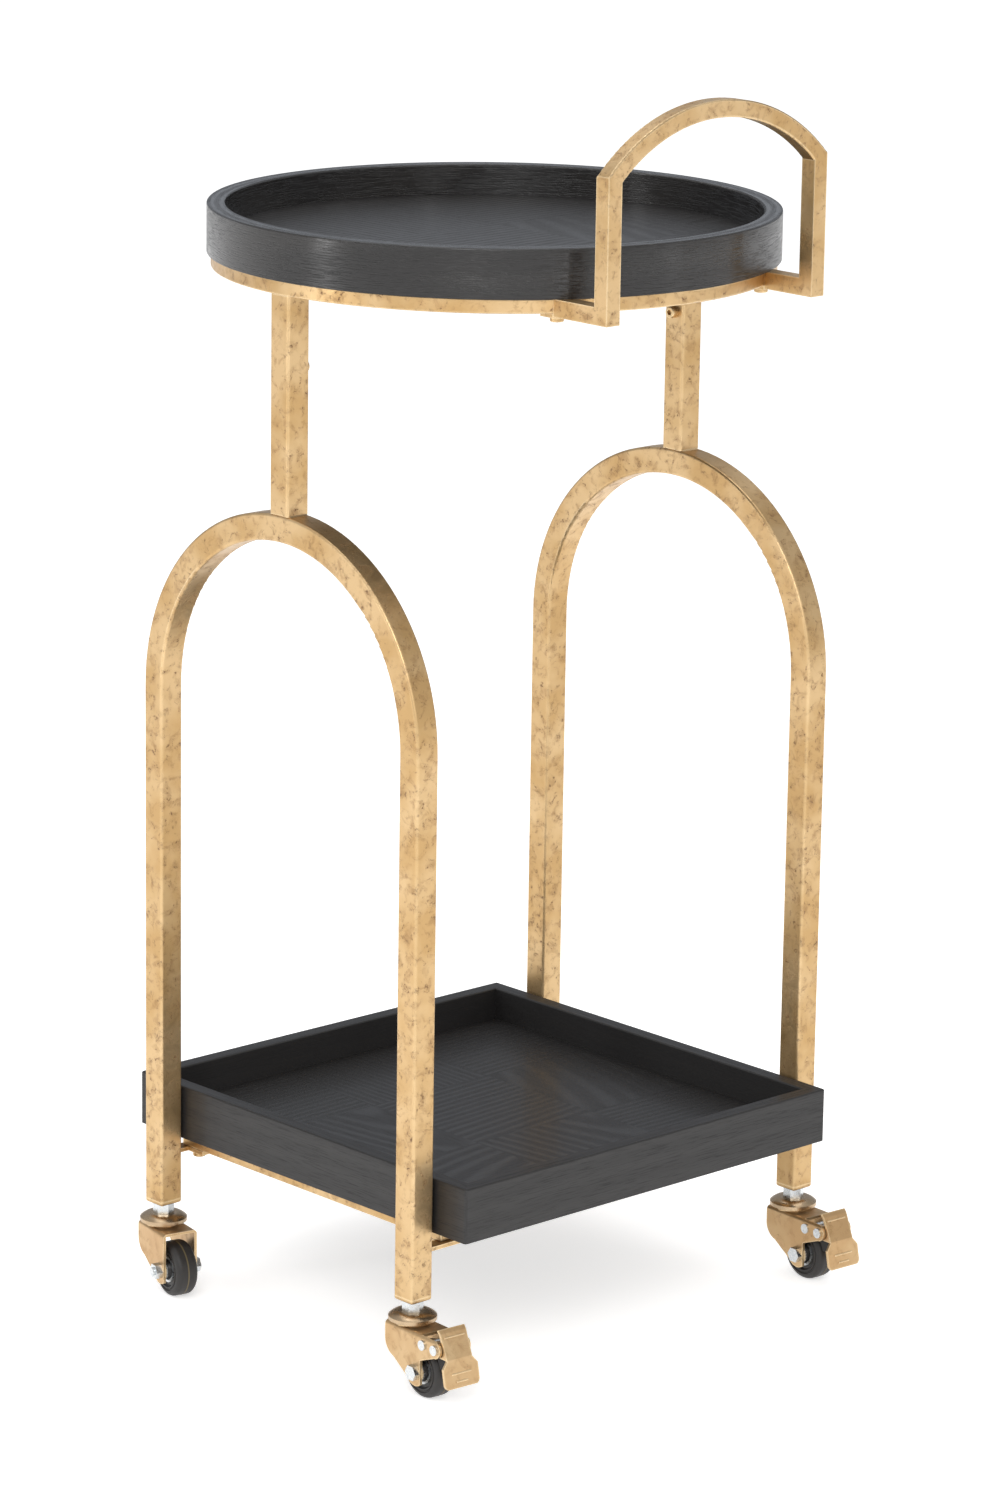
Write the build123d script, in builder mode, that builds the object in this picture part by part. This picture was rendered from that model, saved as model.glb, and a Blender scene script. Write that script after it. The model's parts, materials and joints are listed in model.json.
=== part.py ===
from build123d import *

import os
from math import cos, radians, sin, sqrt

# Bar cart: a round tray over a square tray, carried by two arches on four swivel casters.
# Sizes are in millimetres.  +Z is up and the floor is z = 0.  +X runs from the left arch to
# the right arch, and the push handle is on the -Y side.  The origin lies on the floor under
# the middle of the cart's outline, and the trays are centred on a column at y = COLUMN_Y.

# ---- Arches and posts: square steel tube
TUBE = 19.0                     # outside of the square tube
TUBE_WALL = 1.5
TUBE_EDGE_R = 2.0               # rounding of the tube's long edges
ARCH_RADIUS = 135.0             # centre line of the half circle, and half the leg spacing
ARCH_SPRING = 384.0             # leg foot to where the half circle starts
RING_LIFT = 680.0               # leg foot to the underside of the top ring
ARCH_GAP = 2.0                  # lower tray side to the arch's inner face

# ---- Leg end caps
CAP_PLATE = 3.0
CAP_ROUND = 1.8
CAP_PLUG = 10.0                 # height of the threaded block inside the leg

# ---- Top ring and the round tray
RING_OVERHANG = 1.0             # ring's edge past the posts
RING_BAR = 10.0
RING_WALL = 1.2
BAR_EDGE_R = 1.0
TOP_TRAY_OVERHANG = 3.0         # round tray's edge past the ring
TOP_TRAY_RIM = 13.0
TOP_TRAY_HEIGHT = 34.0
TOP_TRAY_DEPTH = 22.0           # top of the rim down to the floor panel
TOP_REBATE = 4.0                # how far the floor panel's lip reaches into the rim
TOP_LIP = 8.0                   # height of that lip
WOOD_ROUND = 1.2
RING_TAB_LENGTH = 22.0
RING_TAB_WIDTH = 18.0
RING_TAB_ANGLES = (45, 135, 225, 315)

# ---- Post joints
SPIGOT_LENGTH = 65.0
SPIGOT_CLEARANCE = 0.2
POST_BOLT_DROP = 51.0           # bolt axis below the ring

# ---- Push handle
HANDLE_TUBE = 12.0
HANDLE_WALL = 1.2
HANDLE_STANDOFF = 20.0          # round tray's edge to the handle's front face
HANDLE_HALF = 102.0             # column axis to the outside of an upright
KNUCKLE_RISE = 98.5             # underside of the arms to the knuckles
BOW_RISE = 43.0                 # knuckles to the crown of the bow

# ---- Lower tray and the frame under it
LOWER_TRAY = 350.0              # square side
LOWER_TRAY_RAIL = 12.0
LOWER_TRAY_HEIGHT = 39.0
LOWER_TRAY_DEPTH = 24.0         # top of the rails down to the floor panel
LOWER_TRAY_LIFT = 47.5          # leg foot to the tray's underside
TRAY_CORNER_R = 2.0
FRAME_BAR = 10.0
FRAME_WALL = 1.2
FRAME_INSET = 10.0              # tray side to the frame's side bars
FRAME_LAP = 4.0                 # frame's cross bars past the legs' centre lines
TAB_THICK = 3.0
TAB_INNER = 15.0                # leg tab's reach under the frame bar
TAB_LENGTH = 26.0
TAB_EAR = 10.0                  # width of the leg tab where it meets the leg
TAB_SETBACK = 1.5               # tab's outer end to the leg's outer face
LEG_BOLT_INSET = 12.5           # frame's end to the leg tab bolt
TRAY_SCREW_X = 80.0

# ---- Fasteners (M5 and a 4 mm wood screw)
BOLT_R = 2.5
SCREW_R = 2.0
THREAD_GAP = 0.05
PAN_HEAD_R = 4.75
PAN_HEAD = 3.0
CAP_HEAD_R = 4.25
CAP_HEAD = 5.0
HEAD_ROUND = 0.8
SOCKET_FLAT = 4.0
SOCKET_DEPTH = 2.0
SCREW_BITE = 9.0                # wood screw's grip in a panel
RIVET_NUT_R = 3.5
RIVET_NUT_LENGTH = 8.0

# ---- Casters
WHEEL_R = 20.0
WHEEL_HEADROOM = 8.4            # wheel's top to the fork's top face
STEM_RISE = 15.6                # fork's top face to the leg foot
TYRE_WIDTH = 17.0
MOULD_LINE = 0.12               # height of the moulding line round the tread
MOULD_LINE_WIDTH = 0.8
TREAD_ROUND = 4.25
GROOVE_INSET = 5.0              # tread to the round groove on each side of the tyre
GROOVE_R = 0.8
TRAIL = 20.0                    # swivel axis to axle
TYRE_DEPTH = 7.0                # tread to hub
HUB_WIDTH = 20.0
HUB_RIM = 16.0                  # width where it meets the tyre
HUB_FACE = 14.0                 # width over the hub's recessed web
HUB_BOSS_R = 6.9
HUB_SLOPE = 1.2
RING_FACE_R = 9.6
RING_BORE_R = 7.9
RING_THICK = 0.8
AXLE_R = 3.0
SLEEVE_R = 4.5
WASHER_R = 7.5
WASHER = 0.9
RUNNING_GAP = 0.05              # radial gap of a turning fit
SIDE_GAP = 0.3                  # end play between moving faces
AXLE_HEX = 10.0
AXLE_HEAD = 4.0
AXLE_NUT = 5.0
AXLE_TIP = 1.5                  # bolt end past its nut
FORK_WIDTH = 27.0
FORK_SHEET = 2.0
FORK_BEND_R = 3.0
FORK_FRONT = 13.5               # swivel axis to the fork's front edge
FORK_REAR = 6.0                 # axle to the cheek's rear edge
FORK_TOE_R = 10.0               # cheek's lower end, round the axle
FORK_BROW = 12.0                # height of the cheek's upright front edge
KNEE_BACK = -4.0                # where the front edge straightens, from the swivel axis
KNEE_RISE = 4.5                 # and above the axle
SHIN_ANGLE = 35.0               # where it meets the toe, below level
FORK_BOSS_R = 12.5
FORK_BOSS = 1.2
STEM_R = 4.0
STEM_THREAD = 13.0
STEM_HEX = 13.0
STEM_HEX_HEIGHT = 7.5
STEM_HEAD_R = 7.0
STEM_HEAD = 2.6
COVER_R = 17.0
COVER_FLAT_R = 9.5
COVER_EDGE = 2.6
COVER_LIP = 1.6
COVER_BULGE = 0.8               # how far its sloping top swells past straight
COVER_LIFT = 2.2                # fork's top face to the cover's lower edge
RACE_R = 10.0
BALL_R = 1.5
BALL_COUNT = 10
BALL_GAP = 0.15

# ---- Brake
PIVOT_BEHIND = 1.6              # pedal pivot behind the tread
PIN_BACK = 8.5                  # axle to the cross pin
PIN_CLEAR = 2.0                 # tread's height to both pins' centres
EAR_R = 6.0
BRAKE_PIN_R = 2.0
BRAKE_HEAD_R = 3.6
BRAKE_HEAD = 1.4
PEDAL_SHEET = 1.6
PEDAL_HALF_TOP = 11.3
PEDAL_HALF_WAIST = 10.8
PEDAL_FLARE = 5.0               # height over which the foot widens
FLANGE_R = 5.5
PEDAL_HALF_FOOT = 15.0
PEDAL_FOOT_ROUND = 4.0
PEDAL_TOP = (0.0, 13.4)         # pedal's inner face, from the pivot: back, up
PEDAL_SHOULDER = (2.0, 11.0)
PEDAL_WAIST = (9.4, -5.5)
PEDAL_FOOT = (13.4, -25.0)
SHOE_HALF = 8.0
SHOE_GAP = 2.6                  # tread to the shoe's face with the brake off
SHOE_TOP = 15.0                 # above the axle
SHOE_BOTTOM = 7.0

# ---- Places worked out from the sizes above
ARCH_X = LOWER_TRAY / 2 + ARCH_GAP + TUBE / 2
RING_OUTER_R = ARCH_X + TUBE / 2 + RING_OVERHANG
TOP_TRAY_R = RING_OUTER_R + TOP_TRAY_OVERHANG
HANDLE_REACH = TOP_TRAY_R + HANDLE_STANDOFF
COLUMN_Y = HANDLE_STANDOFF / 2
FORK_TOP = 2 * WHEEL_R + WHEEL_HEADROOM
LEG_Z = FORK_TOP + STEM_RISE
SPRING_Z = LEG_Z + ARCH_SPRING
RING_Z = LEG_Z + RING_LIFT
RING_TOP_Z = RING_Z + RING_BAR
RING_INNER_R = RING_OUTER_R - RING_BAR
LOWER_TRAY_Z = LEG_Z + LOWER_TRAY_LIFT
FRAME_Z = LOWER_TRAY_Z - FRAME_BAR
TOP_FLOOR = TOP_TRAY_HEIGHT - TOP_TRAY_DEPTH
LOWER_FLOOR = LOWER_TRAY_HEIGHT - LOWER_TRAY_DEPTH
FRAME_HALF_X = LOWER_TRAY / 2 - FRAME_INSET
FRAME_HALF_Y = ARCH_RADIUS + FRAME_LAP
TUBE_BORE = TUBE - 2 * TUBE_WALL
ARCH_OUTER_R = ARCH_RADIUS + TUBE / 2
HANDLE_Z = RING_TOP_Z - HANDLE_TUBE
HANDLE_BOLT_X = HANDLE_HALF - HANDLE_TUBE / 2
HANDLE_BOLT_Y = -sqrt((RING_OUTER_R - RING_BAR / 2) ** 2 - HANDLE_BOLT_X**2)
LEG_BOLT_X = FRAME_HALF_X - FRAME_BAR / 2
LEG_BOLT_Y = FRAME_HALF_Y - LEG_BOLT_INSET
AXLE_Z = WHEEL_R
HUB_R = WHEEL_R - TYRE_DEPTH
PIVOT_BACK = WHEEL_R + PIVOT_BEHIND
PIVOT_UP = WHEEL_R + PIN_CLEAR
PIN_UP = PIVOT_UP
PEDAL_LINE = [
    (PIVOT_BACK + back, PIVOT_UP + up)
    for back, up in (PEDAL_TOP, PEDAL_SHOULDER, PEDAL_WAIST, PEDAL_FOOT)
]
CHEEK = FORK_WIDTH / 2
CHEEK_INNER = CHEEK - FORK_SHEET

# Each caster: its leg (x side, y side), the bearing of its trail, and whether it has a brake.
CASTERS = {
    "front_left": (-1, -1, -94, True),
    "front_right": (1, -1, -93, True),
    "back_left": (-1, 1, -102, False),
    "back_right": (1, 1, -97, False),
}
SIDES = {"left": -1, "right": 1}
OUTWARD = {"left": (-1, 0, 0), "right": (1, 0, 0), "front": (0, -1, 0), "back": (0, 1, 0)}

os.makedirs("parts", exist_ok=True)


def save(piece, name):
    """Label a finished piece and write its STEP file."""
    piece.part.label = name
    export_step(piece.part, f"parts/{name}.step")


def column(height):
    """The horizontal plane at this height, centred on the tray column."""
    return Plane(origin=(0, COLUMN_Y, height))


def upright_at(x):
    """A vertical plane at this x on the column: its x runs to the back and its y is up."""
    return Plane(origin=(x, COLUMN_Y, 0), x_dir=(0, 1, 0), z_dir=(1, 0, 0))


def outward_plane(side, height):
    """A horizontal plane on the column whose x points outward to the named side."""
    return Plane(origin=(0, COLUMN_Y, height), x_dir=OUTWARD[side], z_dir=(0, 0, 1))


def square_tube(size, wall, edge_r):
    """The section of a square tube, in the sketch that calls it."""
    RectangleRounded(size, size, edge_r)
    Rectangle(size - 2 * wall, size - 2 * wall, mode=Mode.SUBTRACT)


def fasteners(seats, head_r, head, shank_r, length):
    """Identical socket screws.  A seat is the plane under the head, with z along the shank."""
    with BuildPart() as group:
        for seat in seats:
            with BuildSketch(seat):
                Circle(head_r)
            extrude(amount=-head)
            along = Axis(seat.origin, seat.z_dir)
            fillet(group.faces(Select.LAST).sort_by(along)[0].edges(), HEAD_ROUND)
            with BuildSketch(seat):
                Circle(shank_r)
            extrude(amount=length)
            with BuildSketch(seat.offset(-head)):
                RegularPolygon(SOCKET_FLAT / 2, 6, major_radius=False)
            extrude(amount=SOCKET_DEPTH, mode=Mode.SUBTRACT)
    return group


def up_seats(places, height):
    """Seats for screws driven straight up, at these places round the column."""
    return [Plane(origin=(x, COLUMN_Y + y, height), x_dir=(1, 0, 0), z_dir=(0, 0, 1)) for x, y in places]


def four(x, y):
    """The four mirrored places of one corner."""
    return [(i * x, j * y) for i in (-1, 1) for j in (-1, 1)]


# ---- Arches: each is one tube, bent over in a half circle


def arch(x):
    with BuildPart() as tube:
        with BuildLine(upright_at(x)):
            Line((-ARCH_RADIUS, LEG_Z + CAP_PLATE), (-ARCH_RADIUS, SPRING_Z))
            ThreePointArc((-ARCH_RADIUS, SPRING_Z), (0, SPRING_Z + ARCH_RADIUS), (ARCH_RADIUS, SPRING_Z))
            Line((ARCH_RADIUS, SPRING_Z), (ARCH_RADIUS, LEG_Z + CAP_PLATE))
        with BuildSketch(Plane(origin=(x, COLUMN_Y - ARCH_RADIUS, LEG_Z + CAP_PLATE))):
            square_tube(TUBE, TUBE_WALL, TUBE_EDGE_R)
        sweep()
    return tube


for name, side in SIDES.items():
    save(arch(side * ARCH_X), f"{name}_arch")

with BuildPart() as leg_end_caps:
    with BuildSketch(column(LEG_Z)):
        with GridLocations(2 * ARCH_X, 2 * ARCH_RADIUS, 2, 2):
            RectangleRounded(TUBE, TUBE, TUBE_EDGE_R)
    extrude(amount=CAP_PLATE)
    fillet(leg_end_caps.faces().group_by(Axis.Z)[0].edges(), CAP_ROUND)
    with BuildSketch(column(LEG_Z + CAP_PLATE)):
        with GridLocations(2 * ARCH_X, 2 * ARCH_RADIUS, 2, 2):
            Rectangle(TUBE_BORE, TUBE_BORE)
    extrude(amount=CAP_PLUG)
    with Locations(column(LEG_Z)):
        with GridLocations(2 * ARCH_X, 2 * ARCH_RADIUS, 2, 2):
            Hole(STEM_R + THREAD_GAP)
save(leg_end_caps, "leg_end_caps")


# ---- Posts: coped on to the crown of each arch, and bolted to spigots under the ring


def post(x, inward):
    with BuildPart() as tube:
        with BuildSketch(Plane(origin=(x, COLUMN_Y, SPRING_Z))):
            square_tube(TUBE, TUBE_WALL, TUBE_EDGE_R)
        extrude(amount=RING_Z - SPRING_Z)
        with BuildSketch(upright_at(x)):
            with Locations((0, SPRING_Z)):
                Circle(ARCH_OUTER_R)
        extrude(amount=TUBE, both=True, mode=Mode.SUBTRACT)
        with Locations(post_bolt_seat(x, inward)):
            Hole(BOLT_R + THREAD_GAP, depth=2 * TUBE_WALL)
    return tube


def post_bolt_seat(x, inward):
    """The face of the post that looks inward, on the bolt's axis."""
    face = (x + inward * TUBE / 2, COLUMN_Y, RING_Z - POST_BOLT_DROP)
    return Plane(origin=face, x_dir=(0, 1, 0), z_dir=(inward, 0, 0))


for name, side in SIDES.items():
    save(post(side * ARCH_X, -side), f"{name}_post")

with BuildPart() as post_spigots:
    with BuildSketch(column(RING_Z)):
        with Locations((-ARCH_X, 0), (ARCH_X, 0)):
            Rectangle(TUBE_BORE - 2 * SPIGOT_CLEARANCE, TUBE_BORE - 2 * SPIGOT_CLEARANCE)
    extrude(amount=-SPIGOT_LENGTH)
    with Locations(*[post_bolt_seat(side * ARCH_X, -side) for side in SIDES.values()]):
        Hole(BOLT_R + THREAD_GAP, depth=TUBE)
save(post_spigots, "post_spigots")

post_seats = [-post_bolt_seat(side * ARCH_X, -side) for side in SIDES.values()]
save(fasteners(post_seats, CAP_HEAD_R, CAP_HEAD, BOLT_R, TUBE - 2 * TUBE_WALL), "post_bolts")


# ---- Top ring: a hoop of square tube with four tabs for the tray's screws

with BuildPart() as top_ring:
    with BuildSketch(Plane(origin=(0, COLUMN_Y, 0), x_dir=(1, 0, 0), z_dir=(0, -1, 0))):
        with Locations((RING_OUTER_R - RING_BAR / 2, RING_Z + RING_BAR / 2)):
            square_tube(RING_BAR, RING_WALL, BAR_EDGE_R)
    revolve(axis=Axis((0, COLUMN_Y, 0), (0, 0, 1)))
    with BuildSketch(column(RING_Z)):
        with Locations((-HANDLE_BOLT_X, HANDLE_BOLT_Y), (HANDLE_BOLT_X, HANDLE_BOLT_Y)):
            Circle(RIVET_NUT_R)
    extrude(amount=2 * RING_WALL, mode=Mode.SUBTRACT)
save(top_ring, "top_ring")

tab_middle = RING_INNER_R - RING_TAB_LENGTH / 2
ring_tab_places = [(tab_middle * cos(radians(a)), tab_middle * sin(radians(a))) for a in RING_TAB_ANGLES]

with BuildPart() as ring_tabs:
    with BuildSketch(column(RING_TOP_Z - TAB_THICK)):
        for angle in RING_TAB_ANGLES:
            with PolarLocations(tab_middle, 1, start_angle=angle):
                Rectangle(RING_TAB_LENGTH + 2 * RING_WALL, RING_TAB_WIDTH)
        Circle(RING_INNER_R, mode=Mode.INTERSECT)
        with Locations(*ring_tab_places):
            Circle(SCREW_R + THREAD_GAP, mode=Mode.SUBTRACT)
    extrude(amount=TAB_THICK)
save(ring_tabs, "ring_tabs")

# ---- Round tray: a turned rim with a rebate, and a floor panel let into it from below

TOP_BORE_R = TOP_TRAY_R - TOP_TRAY_RIM

with BuildPart() as top_tray_rim:
    with BuildSketch(column(RING_TOP_Z)):
        Circle(TOP_TRAY_R)
        Circle(TOP_BORE_R, mode=Mode.SUBTRACT)
    extrude(amount=TOP_TRAY_HEIGHT)
    fillet(top_tray_rim.faces().sort_by(Axis.Z)[-1].edges(), WOOD_ROUND)
    with BuildSketch(column(RING_TOP_Z)):
        Circle(TOP_BORE_R + TOP_REBATE)
    extrude(amount=TOP_LIP, mode=Mode.SUBTRACT)
save(top_tray_rim, "top_tray_rim")

with BuildPart() as top_tray_floor:
    with BuildSketch(column(RING_TOP_Z)):
        Circle(TOP_BORE_R + TOP_REBATE)
    extrude(amount=TOP_LIP)
    with BuildSketch(column(RING_TOP_Z)):
        Circle(TOP_BORE_R)
    extrude(amount=TOP_FLOOR)
    with BuildSketch(column(RING_TOP_Z)):
        with Locations(*ring_tab_places):
            Circle(SCREW_R + THREAD_GAP)
    extrude(amount=SCREW_BITE, mode=Mode.SUBTRACT)
save(top_tray_floor, "top_tray_floor")

top_screw_seats = up_seats(ring_tab_places, RING_TOP_Z - TAB_THICK)
top_tray_screws = fasteners(top_screw_seats, PAN_HEAD_R, PAN_HEAD, SCREW_R, TAB_THICK + SCREW_BITE)
save(top_tray_screws, "top_tray_screws")

# ---- Push handle: two arms, two uprights and a bow that meets them at a knuckle

BOW_R = (HANDLE_HALF**2 + BOW_RISE**2) / (2 * BOW_RISE)
KNUCKLE_Z = HANDLE_Z + KNUCKLE_RISE
BOW_CENTRE_Z = KNUCKLE_Z + BOW_RISE - BOW_R
HANDLE_BACK_Y = COLUMN_Y - HANDLE_REACH + HANDLE_TUBE


def handle_loop(half, radius, foot):
    """Edges of a closed loop: a flat foot, two upright sides and a bow across the top."""
    shoulder = BOW_CENTRE_Z + sqrt(radius**2 - half**2)
    with BuildLine() as loop:
        Polyline((-half, shoulder), (-half, foot), (half, foot), (half, shoulder))
        ThreePointArc((-half, shoulder), (0, BOW_CENTRE_Z + radius), (half, shoulder))
    return loop.edges()


def handle_section(wall):
    """Face of the uprights and bow, drawn in from every side by the wall."""
    inner = HANDLE_TUBE - wall
    make_face(handle_loop(HANDLE_HALF - wall, BOW_R - wall, HANDLE_Z + wall))
    make_face(handle_loop(HANDLE_HALF - inner, BOW_R - inner, HANDLE_Z), mode=Mode.SUBTRACT)


handle_face = Plane(origin=(0, HANDLE_BACK_Y, 0), x_dir=(1, 0, 0), z_dir=(0, -1, 0))
arm_places = [(x, HANDLE_Z + HANDLE_TUBE / 2) for x in (-HANDLE_BOLT_X, HANDLE_BOLT_X)]
arm_run = HANDLE_REACH - HANDLE_TUBE

with BuildPart() as handle:
    with BuildSketch(handle_face):
        handle_section(0)
    extrude(amount=HANDLE_TUBE)
    with BuildSketch(handle_face):
        with Locations(*arm_places):
            Rectangle(HANDLE_TUBE, HANDLE_TUBE)
    extrude(amount=-arm_run)
    with BuildSketch(column(HANDLE_Z)):
        Circle(RING_OUTER_R)
    extrude(amount=HANDLE_TUBE, mode=Mode.SUBTRACT)
    arcs = handle.edges().filter_by(GeomType.CIRCLE)
    bow_edges = arcs.filter_by(lambda e: BOW_R - 2 * HANDLE_TUBE < e.radius < RING_OUTER_R - HANDLE_TUBE)
    fillet(bow_edges, BAR_EDGE_R)
    with BuildSketch(handle_face.offset(HANDLE_WALL)):
        handle_section(HANDLE_WALL)
    extrude(amount=HANDLE_TUBE - 2 * HANDLE_WALL, mode=Mode.SUBTRACT)
    with BuildSketch(handle_face.offset(2 * HANDLE_WALL)):
        with Locations(*arm_places):
            Rectangle(HANDLE_TUBE - 2 * HANDLE_WALL, HANDLE_TUBE - 2 * HANDLE_WALL)
    extrude(amount=-arm_run, mode=Mode.SUBTRACT)
save(handle, "handle")

handle_bolt_places = [(x, HANDLE_BOLT_Y) for x in (-HANDLE_BOLT_X, HANDLE_BOLT_X)]

with BuildPart() as handle_tabs:
    with BuildSketch(column(RING_Z)):
        with Locations(*handle_bolt_places):
            Rectangle(HANDLE_TUBE, 2 * RING_BAR)
        Circle(RING_OUTER_R, mode=Mode.INTERSECT)
        with Locations(*handle_bolt_places):
            Circle(BOLT_R + THREAD_GAP, mode=Mode.SUBTRACT)
    extrude(amount=-TAB_THICK)
save(handle_tabs, "handle_tabs")

handle_bolt_seats = up_seats(handle_bolt_places, RING_Z - TAB_THICK)
handle_bolts = fasteners(handle_bolt_seats, PAN_HEAD_R, PAN_HEAD, BOLT_R, TAB_THICK + RIVET_NUT_LENGTH)
save(handle_bolts, "handle_bolts")

# ---- Lower frame: four mitred bars, held to the legs by tabs


def rail_outline(half_out, half_along, width):
    """Plan of one mitred rail, in a plane whose x points outward."""
    inner = half_out - width
    short = half_along - width
    Polygon((inner, -short), (half_out, -half_along), (half_out, half_along), (inner, short), align=None)


def frame_halves(side):
    if side in SIDES:
        return FRAME_HALF_X, FRAME_HALF_Y
    return FRAME_HALF_Y, FRAME_HALF_X


def frame_rail(side):
    half_out, half_along = frame_halves(side)
    plan = outward_plane(side, FRAME_Z)
    middle = half_out - FRAME_BAR / 2
    with BuildPart() as rail:
        with BuildSketch(plan):
            rail_outline(half_out, half_along, FRAME_BAR)
        extrude(amount=FRAME_BAR)
        fillet(rail.edges().filter_by(Axis(plan.origin, plan.y_dir)), BAR_EDGE_R)
        with BuildSketch(plan.offset(FRAME_WALL)):
            with Locations((middle, 0)):
                Rectangle(FRAME_BAR - 2 * FRAME_WALL, 2 * half_along)
        extrude(amount=FRAME_BAR - 2 * FRAME_WALL, mode=Mode.SUBTRACT)
        with BuildSketch(plan):
            with Locations(*frame_holes(side, middle)):
                Circle(RIVET_NUT_R if side in SIDES else SCREW_R + THREAD_GAP)
        extrude(amount=2 * FRAME_WALL if side in SIDES else FRAME_BAR, mode=Mode.SUBTRACT)
    return rail


def frame_holes(side, middle):
    """Rivet nut holes in the side rails, and tray screw holes in the cross rails."""
    along = LEG_BOLT_Y if side in SIDES else TRAY_SCREW_X
    return [(middle, -along), (middle, along)]


for side in OUTWARD:
    save(frame_rail(side), f"lower_frame_{side}")

leg_bolt_places = four(LEG_BOLT_X, LEG_BOLT_Y)
tab_end = ARCH_OUTER_R - TAB_SETBACK
leg_face = ARCH_X - TUBE / 2

with BuildPart() as leg_tabs:
    with BuildSketch(column(FRAME_Z)):
        for i, j in four(1, 1):
            with BuildLine():
                Polyline(
                    (i * leg_face, j * tab_end),
                    (i * (FRAME_HALF_X - TAB_INNER), j * tab_end),
                    (i * (FRAME_HALF_X - TAB_INNER), j * (tab_end - TAB_LENGTH)),
                    (i * FRAME_HALF_X, j * (tab_end - TAB_LENGTH)),
                    (i * FRAME_HALF_X, j * (tab_end - TAB_EAR)),
                    (i * leg_face, j * (tab_end - TAB_EAR)),
                    close=True,
                )
            make_face()
        with Locations(*leg_bolt_places):
            Circle(BOLT_R + THREAD_GAP, mode=Mode.SUBTRACT)
    extrude(amount=-TAB_THICK)
save(leg_tabs, "leg_tabs")

leg_bolt_seats = up_seats(leg_bolt_places, FRAME_Z - TAB_THICK)
leg_tab_bolts = fasteners(leg_bolt_seats, PAN_HEAD_R, PAN_HEAD, BOLT_R, TAB_THICK + RIVET_NUT_LENGTH)
save(leg_tab_bolts, "leg_tab_bolts")

with BuildPart() as rivet_nuts:
    for places, height in ((leg_bolt_places, FRAME_Z), (handle_bolt_places, RING_Z)):
        with BuildSketch(column(height)):
            with Locations(*places):
                Circle(RIVET_NUT_R)
                Circle(BOLT_R + THREAD_GAP, mode=Mode.SUBTRACT)
        extrude(amount=RIVET_NUT_LENGTH)
save(rivet_nuts, "rivet_nuts")

# ---- Square tray: four mitred rails round a floor panel

LOWER_HALF = LOWER_TRAY / 2


def tray_rail(side):
    with BuildPart() as rail:
        with BuildSketch(column(LOWER_TRAY_Z)):
            RectangleRounded(LOWER_TRAY, LOWER_TRAY, TRAY_CORNER_R)
            inside = LOWER_TRAY - 2 * LOWER_TRAY_RAIL
            Rectangle(inside, inside, mode=Mode.SUBTRACT)
        extrude(amount=LOWER_TRAY_HEIGHT)
        fillet(rail.faces().sort_by(Axis.Z)[-1].edges(), WOOD_ROUND)
        with BuildSketch(outward_plane(side, LOWER_TRAY_Z)):
            rail_outline(LOWER_HALF, LOWER_HALF, LOWER_TRAY_RAIL)
        extrude(amount=LOWER_TRAY_HEIGHT, mode=Mode.INTERSECT)
    return rail


for side in OUTWARD:
    save(tray_rail(side), f"lower_tray_{side}_rail")

cross_rail_y = FRAME_HALF_Y - FRAME_BAR / 2
tray_screw_places = four(TRAY_SCREW_X, cross_rail_y)

with BuildPart() as lower_tray_floor:
    with BuildSketch(column(LOWER_TRAY_Z)):
        Rectangle(LOWER_TRAY - 2 * LOWER_TRAY_RAIL, LOWER_TRAY - 2 * LOWER_TRAY_RAIL)
    extrude(amount=LOWER_FLOOR)
    with BuildSketch(column(LOWER_TRAY_Z)):
        with Locations(*tray_screw_places):
            Circle(SCREW_R + THREAD_GAP)
    extrude(amount=SCREW_BITE, mode=Mode.SUBTRACT)
save(lower_tray_floor, "lower_tray_floor")

tray_screw_seats = up_seats(tray_screw_places, FRAME_Z)
lower_tray_screws = fasteners(tray_screw_seats, PAN_HEAD_R, PAN_HEAD, SCREW_R, FRAME_BAR + SCREW_BITE)
save(lower_tray_screws, "lower_tray_screws")

# ---- Casters.  A site is the plane on the floor under a leg, with x along the trail.


def caster_site(name):
    i, j, bearing, _ = CASTERS[name]
    trail = (cos(radians(bearing)), sin(radians(bearing)), 0)
    return Plane(origin=(i * ARCH_X, COLUMN_Y + j * ARCH_RADIUS, 0), x_dir=trail, z_dir=(0, 0, 1))


def profile_plane(site, back=0.0, up=0.0, across=0.0):
    """Vertical plane along the trail: x is back along the trail and y is up."""
    corner = site.from_local_coords((back, across, up))
    return Plane(origin=corner, x_dir=site.x_dir, z_dir=-site.y_dir)


def axle_plane(site):
    """Plane through the axle: x is a radius of the wheel and y lies along the axle."""
    centre = site.from_local_coords((TRAIL, 0, AXLE_Z))
    return Plane(origin=centre, x_dir=site.x_dir, z_dir=site.z_dir)


sites = {name: caster_site(name) for name in CASTERS}
fork_boss_z = FORK_TOP + FORK_BOSS
cover_z = FORK_TOP + COVER_LIFT
cover_top = LEG_Z - STEM_HEX_HEIGHT
race_z = fork_boss_z + 2 * (BALL_R + BALL_GAP)
head_z = FORK_TOP - FORK_SHEET - SIDE_GAP

with BuildPart() as caster_stems:
    for site in sites.values():
        with BuildSketch(site.offset(head_z - STEM_HEAD)):
            Circle(STEM_HEAD_R)
        extrude(amount=STEM_HEAD)
        with BuildSketch(site.offset(head_z)):
            Circle(STEM_R)
        extrude(amount=LEG_Z + STEM_THREAD - head_z)
        with BuildSketch(site.offset(cover_top)):
            RegularPolygon(STEM_HEX / 2, 6, major_radius=False)
        extrude(amount=STEM_HEX_HEIGHT)
save(caster_stems, "caster_stems")

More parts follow.
